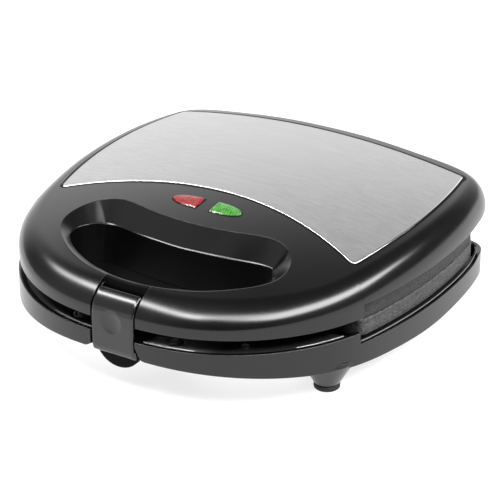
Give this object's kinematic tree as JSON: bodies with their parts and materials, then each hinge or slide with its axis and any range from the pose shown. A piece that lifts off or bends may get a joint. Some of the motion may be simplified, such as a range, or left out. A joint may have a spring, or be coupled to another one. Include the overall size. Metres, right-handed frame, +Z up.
{
  "type": "multi-baker",
  "caption": "Hinged countertop baker with patterned cooking plates, brushed steel trim on a crowned lid, a through-handle at the front, indicator lamps and a front latch.",
  "frame": {"origin": "centre of the bounding box in X and Y, at the height of the table the feet stand on", "axes": "+Z up, -Y towards the handle and latch, +Y towards the hinge, +X to the right of a person at the handle"},
  "size_m": [0.251, 0.2468, 0.0829],
  "materials": {
    "black_plastic": "satin moulded black plastic",
    "latch_plastic": "satin moulded black plastic",
    "clip_plastic": "fine-textured black plastic",
    "cover_plastic": "fine-textured black plastic",
    "frame_plastic": "heat-resistant black plastic",
    "trim_steel": "brushed along X with a polished front edge",
    "plate_coating": "cast aluminium with dark non-stick coating",
    "heater_metal": "dull heat-tinted steel sheath",
    "reflector_metal": "plain sheet",
    "foot_rubber": "soft matte black",
    "gland_rubber": "soft matte black",
    "screw_steel": "bright zinc plate",
    "pin_steel": "plain drawn steel",
    "spring_steel": "spring wire",
    "terminal_plastic": "cream moulded terminal body",
    "thermostat_body": "cream insulator",
    "fuse_metal": "tinned metal case",
    "lens_red": "clear-tinted glossy red, ribbed inside",
    "lens_green": "clear-tinted glossy green, ribbed inside",
    "neon_glass": "small clear bulb",
    "board": "phenolic board"
  },
  "bodies": {
    "base": {"lower_housing": "black_plastic", "lower_handle_cover": "cover_plastic", "handle_screw_front_right": "screw_steel", "handle_screw_front_left": "screw_steel", "handle_screw_side_right": "screw_steel", "handle_screw_side_left": "screw_steel", "frame_screw_front_right": "screw_steel", "frame_screw_front_left": "screw_steel", "frame_screw_rear_right": "screw_steel", "frame_screw_rear_left": "screw_steel", "foot_pad_front_right": "foot_rubber", "foot_pad_front_left": "foot_rubber", "foot_pad_rear_right": "foot_rubber", "foot_pad_rear_left": "foot_rubber", "hinge_pin_right": "pin_steel", "hinge_pin_left": "pin_steel", "lower_cooking_plate": "plate_coating", "lower_heating_element": "heater_metal", "lower_heat_reflector": "reflector_metal", "lower_plate_frame": "frame_plastic", "lower_clip_spring": "spring_steel", "cord_gland": "gland_rubber", "terminal_block": "terminal_plastic", "thermal_fuse": "fuse_metal"},
    "lid": {"upper_housing": "black_plastic", "trim_plate": "trim_steel", "upper_handle_cover": "cover_plastic", "upper_handle_screw_right": "screw_steel", "upper_handle_screw_left": "screw_steel", "upper_frame_screw_front_right": "screw_steel", "upper_frame_screw_front_left": "screw_steel", "upper_frame_screw_rear_right": "screw_steel", "upper_frame_screw_rear_left": "screw_steel", "lamp_lens_red": "lens_red", "lamp_lens_green": "lens_green", "neon_lamp_red": "neon_glass", "neon_lamp_green": "neon_glass", "lamp_board": "board", "upper_cooking_plate": "plate_coating", "upper_heating_element": "heater_metal", "upper_heat_reflector": "reflector_metal", "upper_plate_frame": "frame_plastic", "upper_clip_spring": "spring_steel", "thermostat": "thermostat_body", "latch_pin": "pin_steel", "latch_spring": "spring_steel"},
    "latch": {"latch": "latch_plastic"},
    "lower_clip": {"lower_plate_clip": "clip_plastic"},
    "upper_clip": {"upper_plate_clip": "clip_plastic"}
  },
  "joints": [
    {"name": "lid_hinge", "type": "hinge", "parent": "base", "child": "lid", "pos_m": [0, 0.10009, 0.043], "axis": [-1, 0, 0], "range_deg": [0, 100]},
    {"name": "latch_pivot", "type": "hinge", "parent": "lid", "child": "latch", "pos_m": [0, -0.11571, 0.0525], "axis": [-1, 0, 0], "range_deg": [0, 24], "stiffness_Nm_per_rad": 0.03},
    {"name": "lower_clip_slide", "type": "slide", "parent": "base", "child": "lower_clip", "axis": [0, -1, 0], "range_m": [0, 0.0022], "stiffness_N_per_m": 120},
    {"name": "upper_clip_slide", "type": "slide", "parent": "lid", "child": "upper_clip", "axis": [0, -1, 0], "range_m": [0, 0.0022], "stiffness_N_per_m": 120}
  ]
}
